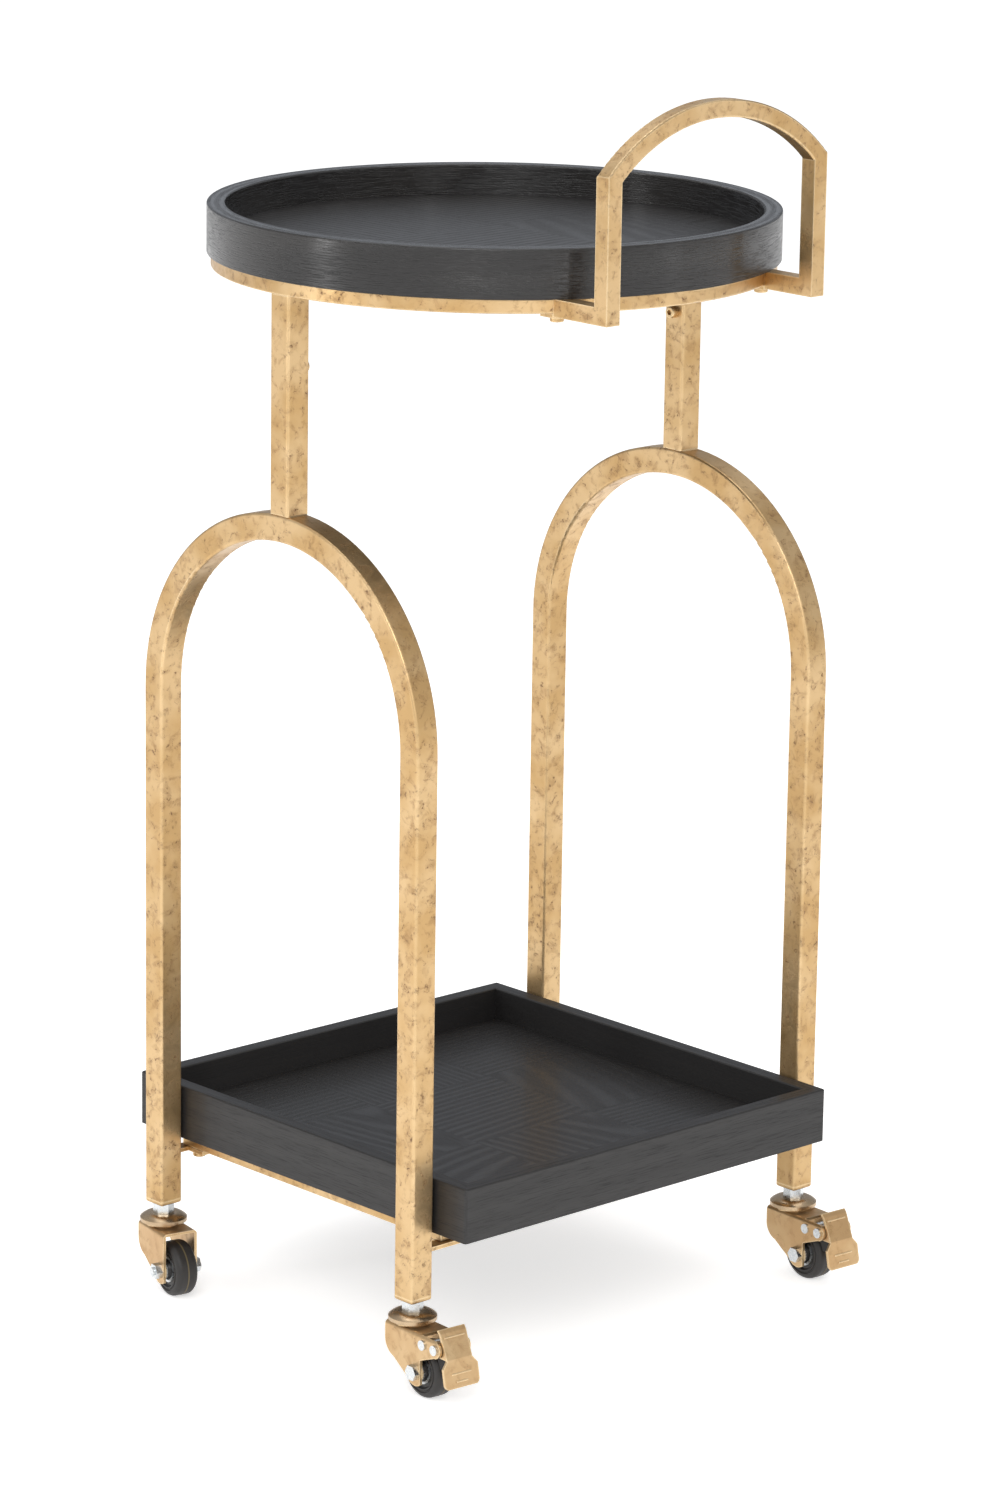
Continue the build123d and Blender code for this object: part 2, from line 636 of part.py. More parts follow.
with BuildPart() as swivel_covers:
    for site in sites.values():
        with BuildSketch(profile_plane(site)):
            with BuildLine():
                Polyline(
                    (COVER_FLAT_R, cover_top),
                    (STEM_R, cover_top),
                    (STEM_R, fork_boss_z + COVER_LIP),
                    (RACE_R - 2 * BALL_R, fork_boss_z + COVER_LIP),
                    (RACE_R - 2 * BALL_R, race_z),
                    (COVER_R - COVER_LIP, race_z),
                    (COVER_R - COVER_LIP, cover_z),
                    (COVER_R, cover_z),
                    (COVER_R, cover_z + COVER_EDGE),
                )
                SagittaArc((COVER_R, cover_z + COVER_EDGE), (COVER_FLAT_R, cover_top), -COVER_BULGE)
            make_face()
        revolve(axis=Axis(site.origin, site.z_dir))
save(swivel_covers, "swivel_covers")

with BuildPart() as bearing_balls:
    for site in sites.values():
        with Locations(site.offset(fork_boss_z + BALL_GAP + BALL_R)):
            with PolarLocations(RACE_R, BALL_COUNT):
                Sphere(BALL_R)
save(bearing_balls, "bearing_balls")


def cheek_outline(braked):
    """Edges of the fork's side view, from the floor point under the swivel axis."""
    rear = TRAIL + FORK_REAR
    toe = AXLE_Z - sqrt(FORK_TOE_R**2 - FORK_REAR**2)
    lean = radians(SHIN_ANGLE)
    shin_foot = (TRAIL - FORK_TOE_R * cos(lean), AXLE_Z - FORK_TOE_R * sin(lean))
    ear_back = TRAIL + PIVOT_BACK
    ear_up = AXLE_Z + PIVOT_UP
    with BuildLine() as outline:
        front = Line((-FORK_FRONT, FORK_TOP), (-FORK_FRONT, FORK_TOP - FORK_BROW))
        shin = TangentArc(front @ 1, (KNEE_BACK, AXLE_Z + KNEE_RISE), tangent=front % 1)
        Line(shin @ 1, shin_foot)
        ThreePointArc(shin_foot, (TRAIL, AXLE_Z - FORK_TOE_R), (rear, toe))
        if braked:
            under = Polyline((rear, toe), (rear, AXLE_Z + FORK_TOE_R), (ear_back, ear_up - EAR_R))
            ear = ThreePointArc(under @ 1, (ear_back + EAR_R, ear_up), (ear_back, ear_up + EAR_R))
            Polyline(ear @ 1, (rear, FORK_TOP), (-FORK_FRONT, FORK_TOP))
        else:
            Polyline((rear, toe), (rear, FORK_TOP), (-FORK_FRONT, FORK_TOP))
    return outline.edges()


def fork(site, braked):
    """A pressed channel, open below, trimmed to the side view of its cheeks."""
    front = site.from_local_coords((-FORK_FRONT, 0, 0))
    with BuildPart() as piece:
        with BuildSketch(Plane(origin=front, x_dir=site.y_dir, z_dir=site.x_dir)) as channel:
            with Locations((0, FORK_TOP / 2)):
                Rectangle(FORK_WIDTH, FORK_TOP)
            fillet(channel.vertices().group_by(Axis.Y)[-1], FORK_BEND_R)
            with Locations((0, (FORK_TOP - FORK_SHEET) / 2)):
                Rectangle(2 * CHEEK_INNER, FORK_TOP - FORK_SHEET, mode=Mode.SUBTRACT)
        extrude(amount=FORK_FRONT + TRAIL + PIVOT_BACK + EAR_R)
        with BuildSketch(profile_plane(site)):
            make_face(cheek_outline(braked))
        extrude(amount=CHEEK, both=True, mode=Mode.INTERSECT)
        with BuildSketch(site.offset(FORK_TOP - FORK_SHEET)):
            with Locations((TRAIL + FORK_REAR, 0)):
                Rectangle(2 * TRAIL, 2 * CHEEK_INNER, align=(Align.MIN, Align.CENTER))
        extrude(amount=FORK_SHEET, mode=Mode.SUBTRACT)
        with BuildSketch(site.offset(FORK_TOP - FORK_SHEET)):
            Circle(FORK_BOSS_R)
        extrude(amount=FORK_SHEET + FORK_BOSS)
        with BuildSketch(site.offset(FORK_TOP - FORK_SHEET)):
            Circle(STEM_R + RUNNING_GAP)
        extrude(amount=FORK_SHEET + FORK_BOSS, mode=Mode.SUBTRACT)
        with BuildSketch(cross_plane(site, 0)):
            Circle(AXLE_R + THREAD_GAP)
            if braked:
                with Locations((PIVOT_BACK, PIVOT_UP), (PIN_BACK, PIN_UP)):
                    Circle(BRAKE_PIN_R)
        extrude(amount=FORK_WIDTH, both=True, mode=Mode.SUBTRACT)
    return piece


def cross_plane(site, distance):
    """Plane square to the axle, this far from the wheel's middle."""
    return profile_plane(site, TRAIL, AXLE_Z, distance)


def axle(site, head_side):
    """Axle bolt, nut, sleeve and two washers.  The head is on this side of the fork."""
    with BuildPart() as group:
        with BuildSketch(cross_plane(site, head_side * CHEEK)):
            RegularPolygon(AXLE_HEX / 2, 6, major_radius=False)
        extrude(amount=-head_side * AXLE_HEAD)
        with BuildSketch(cross_plane(site, head_side * CHEEK)):
            Circle(AXLE_R)
        extrude(amount=head_side * (FORK_WIDTH + AXLE_NUT + AXLE_TIP))
        with BuildSketch(cross_plane(site, -head_side * CHEEK)):
            RegularPolygon(AXLE_HEX / 2, 6, major_radius=False)
            Circle(AXLE_R + THREAD_GAP, mode=Mode.SUBTRACT)
        extrude(amount=head_side * AXLE_NUT)
        with BuildSketch(cross_plane(site, 0)):
            Circle(SLEEVE_R)
            Circle(AXLE_R + THREAD_GAP, mode=Mode.SUBTRACT)
        extrude(amount=CHEEK_INNER, both=True)
        for end in (-1, 1):
            with BuildSketch(cross_plane(site, end * (CHEEK_INNER - WASHER))):
                Circle(WASHER_R)
                Circle(SLEEVE_R + THREAD_GAP, mode=Mode.SUBTRACT)
            extrude(amount=-end * WASHER)
    return group


def tyre(site):
    tread_r = WHEEL_R - MOULD_LINE
    with BuildPart() as piece:
        with BuildSketch(axle_plane(site)) as section:
            with Locations(((HUB_R + tread_r) / 2, 0)):
                Rectangle(tread_r - HUB_R, TYRE_WIDTH)
            fillet(section.vertices().group_by(Axis.X)[-1], TREAD_ROUND)
            groove_r = WHEEL_R - GROOVE_INSET
            with Locations((groove_r, -TYRE_WIDTH / 2), (groove_r, TYRE_WIDTH / 2)):
                Circle(GROOVE_R, mode=Mode.SUBTRACT)
            with Locations((WHEEL_R, 0)):
                Rectangle(2 * GROOVE_R, MOULD_LINE_WIDTH, align=(Align.MAX, Align.CENTER))
        revolve(axis=Axis(axle_plane(site).origin, site.y_dir))
    return piece


def hub(site):
    """Plastic hub: a boss that turns on the sleeve, a web, and a rim that carries the tyre."""
    half_line = [
        (SLEEVE_R + RUNNING_GAP, HUB_WIDTH / 2),
        (HUB_BOSS_R - HUB_SLOPE, HUB_WIDTH / 2),
        (HUB_BOSS_R, HUB_FACE / 2),
        (HUB_R - HUB_SLOPE, HUB_FACE / 2),
        (HUB_R, HUB_RIM / 2),
    ]
    with BuildPart() as piece:
        with BuildSketch(axle_plane(site)):
            Polygon(*half_line, *[(x, -y) for x, y in reversed(half_line)], align=None)
        revolve(axis=Axis(axle_plane(site).origin, site.y_dir))
    return piece


def hub_rings(site):
    """Pressed steel rings on both faces of the hub."""
    with BuildPart() as pair:
        for end in (-1, 1):
            with BuildSketch(cross_plane(site, end * HUB_FACE / 2)):
                Circle(RING_FACE_R)
                Circle(RING_BORE_R, mode=Mode.SUBTRACT)
            extrude(amount=-end * RING_THICK)
    return pair


# ---- Brake pedal, its shoe, and the pins through the fork's ears


def pedal(site):
    """Bent sheet with a flared foot, and two flanges that hold it on the pivot."""
    top, shoulder, waist, foot = PEDAL_LINE
    centre = site.from_local_coords((TRAIL, 0, AXLE_Z))
    rear_view = Plane(origin=centre, x_dir=site.y_dir, z_dir=site.x_dir)
    edge = [
        (PEDAL_HALF_TOP, top[1] + PEDAL_SHEET),
        (PEDAL_HALF_WAIST, waist[1]),
        (PEDAL_HALF_FOOT, waist[1] - PEDAL_FLARE),
        (PEDAL_HALF_FOOT, foot[1]),
    ]
    with BuildPart() as piece:
        with BuildSketch(cross_plane(site, 0)):
            with BuildLine():
                inner_face = Polyline(*PEDAL_LINE)
                offset(objects=inner_face, amount=PEDAL_SHEET, side=Side.LEFT)
            make_face()
        extrude(amount=PEDAL_HALF_FOOT, both=True)
        with BuildSketch(rear_view) as shape:
            with BuildLine():
                Polyline(*edge, *[(-x, z) for x, z in reversed(edge)], close=True)
            make_face()
            fillet(shape.vertices().group_by(Axis.Y)[0], PEDAL_FOOT_ROUND)
        extrude(amount=PEDAL_LINE[-1][0] + 2 * PEDAL_SHEET, mode=Mode.INTERSECT)
        for end in (-1, 1):
            with BuildSketch(cross_plane(site, end * PEDAL_HALF_WAIST)):
                with BuildLine():
                    Polyline(
                        (PIVOT_BACK, PIVOT_UP + FLANGE_R),
                        (shoulder[0] + PEDAL_SHEET / 2, PIVOT_UP + FLANGE_R),
                        (waist[0] + PEDAL_SHEET / 2, waist[1]),
                        (PIVOT_BACK, PIVOT_UP - FLANGE_R),
                    )
                    ThreePointArc(
                        (PIVOT_BACK, PIVOT_UP - FLANGE_R),
                        (PIVOT_BACK - FLANGE_R, PIVOT_UP),
                        (PIVOT_BACK, PIVOT_UP + FLANGE_R),
                    )
                make_face()
                with Locations((PIVOT_BACK, PIVOT_UP)):
                    Circle(BRAKE_PIN_R + RUNNING_GAP, mode=Mode.SUBTRACT)
            extrude(amount=end * PEDAL_SHEET)
    return piece


def brake_shoe(site):
    """Rubber block on the inside of the pedal's foot, hollowed to the wheel's tread."""
    waist, foot = PEDAL_LINE[2:]
    slope = (foot[0] - waist[0]) / (waist[1] - foot[1])
    with BuildPart() as piece:
        with BuildSketch(cross_plane(site, 0)):
            with BuildLine():
                Polyline(
                    (AXLE_R, SHOE_BOTTOM),
                    (waist[0] + (waist[1] - SHOE_BOTTOM) * slope, SHOE_BOTTOM),
                    (waist[0] + (waist[1] - SHOE_TOP) * slope, SHOE_TOP),
                    (AXLE_R, SHOE_TOP),
                    close=True,
                )
            make_face()
            Circle(WHEEL_R + SHOE_GAP, mode=Mode.SUBTRACT)
        extrude(amount=SHOE_HALF, both=True)
    return piece


def brake_pins(site):
    """Pedal pivot and cross pin, riveted over outside the fork's ears."""
    with BuildPart() as pair:
        for back, up in ((PIVOT_BACK, PIVOT_UP), (PIN_BACK, PIN_UP)):
            with BuildSketch(profile_plane(site, TRAIL + back, AXLE_Z + up)):
                Circle(BRAKE_PIN_R)
            extrude(amount=CHEEK, both=True)
            for end in (-1, 1):
                with BuildSketch(profile_plane(site, TRAIL + back, AXLE_Z + up, end * CHEEK)):
                    Circle(BRAKE_HEAD_R)
                extrude(amount=-end * BRAKE_HEAD)
    return pair


for name, site in sites.items():
    braked = CASTERS[name][3]
    head_side = -1 if braked else 1
    save(fork(site, braked), f"{name}_fork")
    save(axle(site, head_side), f"{name}_axle")
    save(tyre(site), f"{name}_tyre")
    save(hub(site), f"{name}_hub")
    save(hub_rings(site), f"{name}_hub_rings")
    if braked:
        save(pedal(site), f"{name}_pedal")
        save(brake_shoe(site), f"{name}_brake_shoe")
        save(brake_pins(site), f"{name}_brake_pins")
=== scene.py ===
# %% [markdown]
# # A bar cart with a round tray above a square tray
# The CAD model already holds every part at its true size, so this script gives each part its
# finish, adds the few details that are too slight for the CAD, and sets up a soft studio.
# The first step loads the model. Its box is kept, because nothing added later may outgrow it.

# %% Load the model
import json
import math

import bmesh
import bpy
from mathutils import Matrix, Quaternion, Vector


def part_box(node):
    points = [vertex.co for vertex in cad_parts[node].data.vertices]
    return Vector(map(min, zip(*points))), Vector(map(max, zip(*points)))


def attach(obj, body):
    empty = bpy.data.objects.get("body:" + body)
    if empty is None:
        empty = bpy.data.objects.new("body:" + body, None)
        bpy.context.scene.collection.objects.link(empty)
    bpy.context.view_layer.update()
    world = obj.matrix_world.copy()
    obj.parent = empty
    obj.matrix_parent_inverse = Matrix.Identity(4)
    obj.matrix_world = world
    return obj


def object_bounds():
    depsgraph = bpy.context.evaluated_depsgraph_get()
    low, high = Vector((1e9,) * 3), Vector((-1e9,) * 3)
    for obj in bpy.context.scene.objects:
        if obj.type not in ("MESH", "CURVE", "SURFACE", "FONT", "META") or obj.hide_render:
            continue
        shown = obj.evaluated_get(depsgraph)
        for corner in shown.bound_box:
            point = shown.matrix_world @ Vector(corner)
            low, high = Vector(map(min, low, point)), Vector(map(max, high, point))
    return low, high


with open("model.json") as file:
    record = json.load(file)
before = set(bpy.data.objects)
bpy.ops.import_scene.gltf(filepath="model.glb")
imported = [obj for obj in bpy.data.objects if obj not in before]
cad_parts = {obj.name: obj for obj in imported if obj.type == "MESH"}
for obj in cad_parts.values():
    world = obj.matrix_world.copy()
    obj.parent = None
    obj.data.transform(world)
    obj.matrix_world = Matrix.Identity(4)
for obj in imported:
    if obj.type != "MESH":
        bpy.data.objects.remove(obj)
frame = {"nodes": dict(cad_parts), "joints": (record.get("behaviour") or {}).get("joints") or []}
nodes = frame["nodes"]
joints = {joint["name"]: joint for joint in frame["joints"]}
cad_low, cad_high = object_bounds()
print("parts", len(nodes), "box", [round(v, 3) for v in (cad_high - cad_low)])

# %% [markdown]
# ## Colours and sizes
# Colours are easiest to choose as the hex codes of a paint chart, but shaders work in linear
# light, so one function converts them. Patterns are easiest to think of in millimetres, while
# a texture's scale counts repeats per metre, so a second one-line function turns the two round.


# %% Convert colours and sizes
def paint(code):
    """A chart colour such as "C89F62" as the linear colour that a shader expects."""
    channels = [int(code[i : i + 2], 16) / 255 for i in (0, 2, 4)]
    linear = [c / 12.92 if c <= 0.04045 else ((c + 0.055) / 1.055) ** 2.4 for c in channels]
    return (*linear, 1.0)


def per_metre(size_mm):
    """How many features of this size fit in a metre."""
    return 1000 / size_mm


print("gold in linear light", [round(c, 3) for c in paint("C89F62")[:3]])

# %% [markdown]
# ## Building node trees
# A node tree is a chain of small boxes. Making one by hand takes three lines per box: add it,
# set it, join it. This function does all three, and gives back the output to join next.


# %% Add a node
def add(tree, kind, inputs, output=0, **settings):
    """Add a node, set its options, then fill or link its inputs. Returns one output socket."""
    node = tree.nodes.new(kind)
    for name, value in settings.items():
        setattr(node, name, value)
    for socket, value in inputs.items():
        if isinstance(value, bpy.types.NodeSocket):
            tree.links.new(value, node.inputs[socket])
        else:
            node.inputs[socket].default_value = value
    return node.outputs[output]


def start_material(name, uniform):
    """A material whose shader has these sockets the same all over its surface."""
    material = bpy.data.materials.new(name)
    material.use_nodes = True
    shader = material.node_tree.nodes["Principled BSDF"]
    for socket, value in uniform.items():
        shader.inputs[socket].default_value = value
    return material, material.node_tree, shader


def wear(names, material):
    """Give CAD parts this material in place of the plain one that they came with."""
    for name in names:
        nodes[name].data.materials.clear()
        nodes[name].data.materials.append(material)
    print(material.name, "on", len(names), "parts")


# %% [markdown]
# ## Antiqued gold lacquer
# The tubes are mild steel, sprayed with a metallic gold lacquer and then rubbed with a brown
# glaze. The glaze stays in the low spots as clouds and small flecks, and is wiped off the
# corners. So the colour is built up in the order that the finisher works: lacquer, soft clouds
# of glaze, dark flecks, then bright corners, which are partly rubbed wear and partly a painted
# highlight. The corners are found by comparing the true surface with one whose edges are
# rounded by a bevel.


# %% Antiqued gold lacquer
def antiqued_gold(name, light, deep, glaze, fleck_share):
    """Gold lacquer under a rubbed glaze. A larger fleck_share leaves more dark flecks."""
    material, tree, shader = start_material(name, {"Coat Weight": 0.12, "Coat Roughness": 0.25})
    place = add(tree, "ShaderNodeTexCoord", {}, "Object")
    cloud = add(tree, "ShaderNodeTexNoise", {"Vector": place, "Scale": per_metre(38), "Detail": 3.0})
    smear = add(tree, "ShaderNodeTexNoise", {
        "Vector": place, "Scale": per_metre(8), "Detail": 6.0, "Roughness": 0.62, "Distortion": 0.6})
    fleck = add(tree, "ShaderNodeTexNoise", {
        "Vector": place, "Scale": per_metre(3.4), "Detail": 5.0, "Roughness": 0.7, "Distortion": 1.1})
    clouded = add(tree, "ShaderNodeMapRange", {"Value": cloud, "From Min": 0.38, "From Max": 0.62})
    lacquer = add(tree, "ShaderNodeMix", {0: clouded, 6: paint(light), 7: paint(deep)}, 2, data_type="RGBA")
    smeared = add(tree, "ShaderNodeMapRange", {
        "Value": smear, "From Min": 0.50, "From Max": 0.70, "To Max": 0.55})
    rubbed = add(tree, "ShaderNodeMix", {0: smeared, 6: lacquer, 7: paint(glaze)}, 2, data_type="RGBA")
    low = 0.66 - 0.06 * fleck_share
    spots = add(tree, "ShaderNodeMapRange", {"Value": fleck, "From Min": low - 0.05, "From Max": low + 0.04})
    patch = add(tree, "ShaderNodeMapRange", {"Value": smear, "From Min": 0.47, "From Max": 0.60})
    dark = add(tree, "ShaderNodeMath", {0: spots, 1: patch}, operation="MULTIPLY")
    flecked = add(tree, "ShaderNodeMix", {0: dark, 6: rubbed, 7: paint("6B4A26")}, 2, data_type="RGBA")
    # Bright corners: rubbed wear plus a painted highlight, the pale colour F2DDB4 mixed in along the edges.
    rounded = add(tree, "ShaderNodeBevel", {"Radius": 0.0016}, samples=4)
    true = add(tree, "ShaderNodeNewGeometry", {}, "Normal")
    facing = add(tree, "ShaderNodeVectorMath", {0: rounded, 1: true}, "Value", operation="DOT_PRODUCT")
    corner = add(tree, "ShaderNodeMapRange", {
        "Value": facing, "From Min": 0.995, "From Max": 0.93, "To Max": 0.7})
    colour = add(tree, "ShaderNodeMix", {0: corner, 6: flecked, 7: paint("F2DDB4")}, 2, data_type="RGBA")
    tree.links.new(colour, shader.inputs["Base Color"])
    metal = add(tree, "ShaderNodeMapRange", {"Value": dark, "To Min": 0.92, "To Max": 0.35})
    tree.links.new(metal, shader.inputs["Metallic"])
    sheen = add(tree, "ShaderNodeMapRange", {
        "Value": smear, "From Min": 0.35, "From Max": 0.70, "To Min": 0.33, "To Max": 0.50})
    tree.links.new(sheen, shader.inputs["Roughness"])
    relief = add(tree, "ShaderNodeMath", {0: smear, 1: dark}, operation="SUBTRACT")
    bump = add(tree, "ShaderNodeBump", {"Height": relief, "Strength": 0.35, "Distance": 0.0002})
    tree.links.new(bump, shader.inputs["Normal"])
    return material


tube_gold = antiqued_gold("antiqued_gold_lacquer_on_steel", "CFB083", "BE9B69", "93704A", 1.0)
pressed_gold = antiqued_gold("gold_lacquer_on_pressed_steel", "CCAE84", "BF9C70", "A78459", 0.0)
print("gold finishes", tube_gold.name, pressed_gold.name)

# %% [markdown]
# ## Bronze plate
# Each caster has a small domed cover over its ball race. It is plated in a darker, smoother
# bronze than the sprayed tubes, so it gets sharper reflections and no flecks.


# %% Bronze-plated steel
def bronze_plate():
    """Thin bronze plating: a real metal all over, with faint clouding from handling."""
    material, tree, shader = start_material("bronze_plated_steel", {"Metallic": 1.0})
    place = add(tree, "ShaderNodeTexCoord", {}, "Object")
    cloud = add(tree, "ShaderNodeTexNoise", {"Vector": place, "Scale": per_metre(6), "Detail": 4.0})
    shade = add(tree, "ShaderNodeMix", {
        0: cloud, 6: paint("CDB596"), 7: paint("A48C6E")}, 2, data_type="RGBA")
    tree.links.new(shade, shader.inputs["Base Color"])
    polish = add(tree, "ShaderNodeMapRange", {"Value": cloud, "To Min": 0.20, "To Max": 0.36})
    tree.links.new(polish, shader.inputs["Roughness"])
    return material


cover_bronze = bronze_plate()
print("plating", cover_bronze.name)

# %% [markdown]
# ## Zinc-plated steel
# Nuts, bolts, rivets and stems are zinc plated. The plating is pale and slightly blue, and under
# a lens it is a quilt of dull crystals, so a cell pattern of about a millimetre varies the shine.


# %% Zinc-plated steel
def zinc_plate():
    """Bright zinc plating with a faint crystal pattern, drawn at 1.2 mm so that it shows."""
    material, tree, shader = start_material("zinc_plated_steel", {"Metallic": 1.0})
    place = add(tree, "ShaderNodeTexCoord", {}, "Object")
    crystal = add(tree, "ShaderNodeTexVoronoi", {"Vector": place, "Scale": per_metre(1.2)}, "Color")
    tone = add(tree, "ShaderNodeSeparateColor", {"Color": crystal})
    shade = add(tree, "ShaderNodeMix", {0: tone, 6: paint("C9CED2"), 7: paint("DDE0E0")}, 2, data_type="RGBA")
    tree.links.new(shade, shader.inputs["Base Color"])
    polish = add(tree, "ShaderNodeMapRange", {"Value": tone, "To Min": 0.24, "To Max": 0.40})
    tree.links.new(polish, shader.inputs["Roughness"])
    bump = add(tree, "ShaderNodeBump", {"Height": tone, "Strength": 0.2, "Distance": 0.00005})
    tree.links.new(bump, shader.inputs["Normal"])
    return material


zinc = zinc_plate()
print("fastener finish", zinc.name)

# %% [markdown]
# ## Black-stained oak
# The trays are faced with oak veneer, stained black and given a thin satin lacquer. The stain
# hides the colour of the wood but not its figure: growth rings still show as bands of sheen, and
# the open pores as fine dark dashes along the grain. Both come from one vector that measures
# along the grain, across it, and into the wood, so each part only has to supply that vector.


# %% Oak grain
def oak_grain(tree, shader, grain, matt, figure, relief_mm):
    """Stain, figure and pores. grain is (along, across, into the wood), in metres."""
    stretched = add(tree, "ShaderNodeVectorMath", {0: grain, 1: (0.11, 1.0, 1.0)}, operation="MULTIPLY")
    # A sine wave repeats every 0.314 units of a wave texture, so 0.314 m over 5 mm rings.
    rings = add(tree, "ShaderNodeTexWave", {
        "Vector": stretched, "Scale": 0.314 * per_metre(6.5), "Distortion": 5.5,
        "Detail": 3.0, "Detail Scale": 0.22, "Detail Roughness": 0.6},
        "Fac", wave_type="RINGS", rings_direction="SPHERICAL")
    late = add(tree, "ShaderNodeMapRange", {
        "Value": rings, "From Min": 0.25, "From Max": 0.95, "To Max": figure})
    # Real pores are 0.3 mm wide. They are drawn 0.8 mm wide and 18 mm long, so that they show.
    thin = add(tree, "ShaderNodeVectorMath", {
        0: grain, 1: (per_metre(18), per_metre(0.8), per_metre(0.8))}, operation="MULTIPLY")
    streak = add(tree, "ShaderNodeTexNoise", {"Vector": thin, "Scale": 1.0, "Detail": 3.0, "Roughness": 0.6})
    pore = add(tree, "ShaderNodeMapRange", {
        "Value": streak, "From Min": 0.50, "From Max": 0.70, "To Max": 0.75})
    crowded = add(tree, "ShaderNodeMapRange", {"Value": late, "To Min": 1.0, "To Max": 0.35})
    pores = add(tree, "ShaderNodeMath", {0: pore, 1: crowded}, operation="MULTIPLY")
    stain = add(tree, "ShaderNodeMix", {
        0: late, 6: paint("191717"), 7: paint("242221")}, 2, data_type="RGBA")
    colour = add(tree, "ShaderNodeMix", {0: pores, 6: stain, 7: paint("141312")}, 2, data_type="RGBA")
    tree.links.new(colour, shader.inputs["Base Color"])
    dull = add(tree, "ShaderNodeMapRange", {"Value": late, "To Min": matt + 0.07, "To Max": matt - 0.07})
    rough = add(tree, "ShaderNodeMath", {0: pores, 1: 0.3, 2: dull}, operation="MULTIPLY_ADD", use_clamp=True)
    tree.links.new(rough, shader.inputs["Roughness"])
    ridge = add(tree, "ShaderNodeMapRange", {"Value": late, "To Max": 0.5})
    relief = add(tree, "ShaderNodeMath", {0: ridge, 1: pores}, operation="SUBTRACT")
    bump = add(tree, "ShaderNodeBump", {"Height": relief, "Distance": relief_mm / 1000})
    tree.links.new(bump, shader.inputs["Normal"])


LACQUERED_WOOD = {"IOR": 1.5, "Coat Weight": 0.15, "Coat Roughness": 0.18, "Specular IOR Level": 0.5}

# %% [markdown]
# ## Rails with straight grain
# The square tray's rails are cut along the grain, so the vector is simply the rail's length, its
# height and its thickness. Rails on the left and right run along Y, the others along X.


# %% Oak for the rails
def oak_rail(name, along, across, into):
    """Oak with its grain along one axis. The three letters say which axis plays which part."""
    material, tree, shader = start_material(name, LACQUERED_WOOD)
    place = add(tree, "ShaderNodeTexCoord", {}, "Object")
    axes = add(tree, "ShaderNodeSeparateXYZ", {"Vector": place}).node.outputs
    shifted = add(tree, "ShaderNodeMath", {0: axes[across], 1: 0.05}, operation="SUBTRACT")
    grain = add(tree, "ShaderNodeCombineXYZ", {"X": axes[along], "Y": shifted, "Z": axes[into]})
    oak_grain(tree, shader, grain, 0.50, 0.25, 0.03)
    return material


rail_x = oak_rail("black_stained_oak_rail_along_x", "X", "Z", "Y")
rail_y = oak_rail("black_stained_oak_rail_along_y", "Y", "Z", "X")
print("rail finishes", rail_x.name, rail_y.name)

# %% [markdown]
# ## The round rim
# The round tray's rim is bent from strips, so its grain runs round it. The distance along the
# grain is then an angle times a radius. The angle jumps at one place, like the real strip's
# butt joint, and that place is turned to the back of the tray.


# %% Oak for the round rim
rim_low, rim_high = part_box("top_tray_rim")
rim_middle = (rim_low + rim_high) / 2
rim_radius = (rim_high.x - rim_low.x) / 2


def oak_round_rim(name):
    """Oak with its grain running round a vertical axis through the tray's middle."""
    material, tree, shader = start_material(name, LACQUERED_WOOD)
    place = add(tree, "ShaderNodeTexCoord", {}, "Object")
    inward = add(tree, "ShaderNodeVectorMath", {0: place, 1: rim_middle}, operation="SUBTRACT")
    axes = add(tree, "ShaderNodeSeparateXYZ", {"Vector": inward}).node.outputs
    ahead = add(tree, "ShaderNodeMath", {0: axes["Y"], 1: -1.0}, operation="MULTIPLY")
    angle = add(tree, "ShaderNodeMath", {0: axes["X"], 1: ahead}, operation="ARCTAN2")
    round_rim = add(tree, "ShaderNodeMath", {0: angle, 1: rim_radius}, operation="MULTIPLY")
    flat = add(tree, "ShaderNodeVectorMath", {0: inward, 1: (1.0, 1.0, 0.0)}, operation="MULTIPLY")
    radius = add(tree, "ShaderNodeVectorMath", {0: flat}, "Value", operation="LENGTH")
    height = add(tree, "ShaderNodeMath", {0: axes["Z"], 1: 0.012}, operation="ADD")
    grain = add(tree, "ShaderNodeCombineXYZ", {"X": round_rim, "Y": height, "Z": radius})
    oak_grain(tree, shader, grain, 0.22, 1.0, 0.5)
    return material


rim_oak = oak_round_rim("black_stained_oak_round_rim")
print("rim radius", round(rim_radius, 4))

# %% [markdown]
# ## Veneered floors
# Both tray floors are faced with square leaves of veneer, laid with their grain turned a quarter
# turn from one leaf to the next. Rounding a position down to whole leaves says which leaf it is
# in. Odd leaves swap along and across, and a random shift gives each leaf its own figure. The
# thin joint between leaves is a dark line.


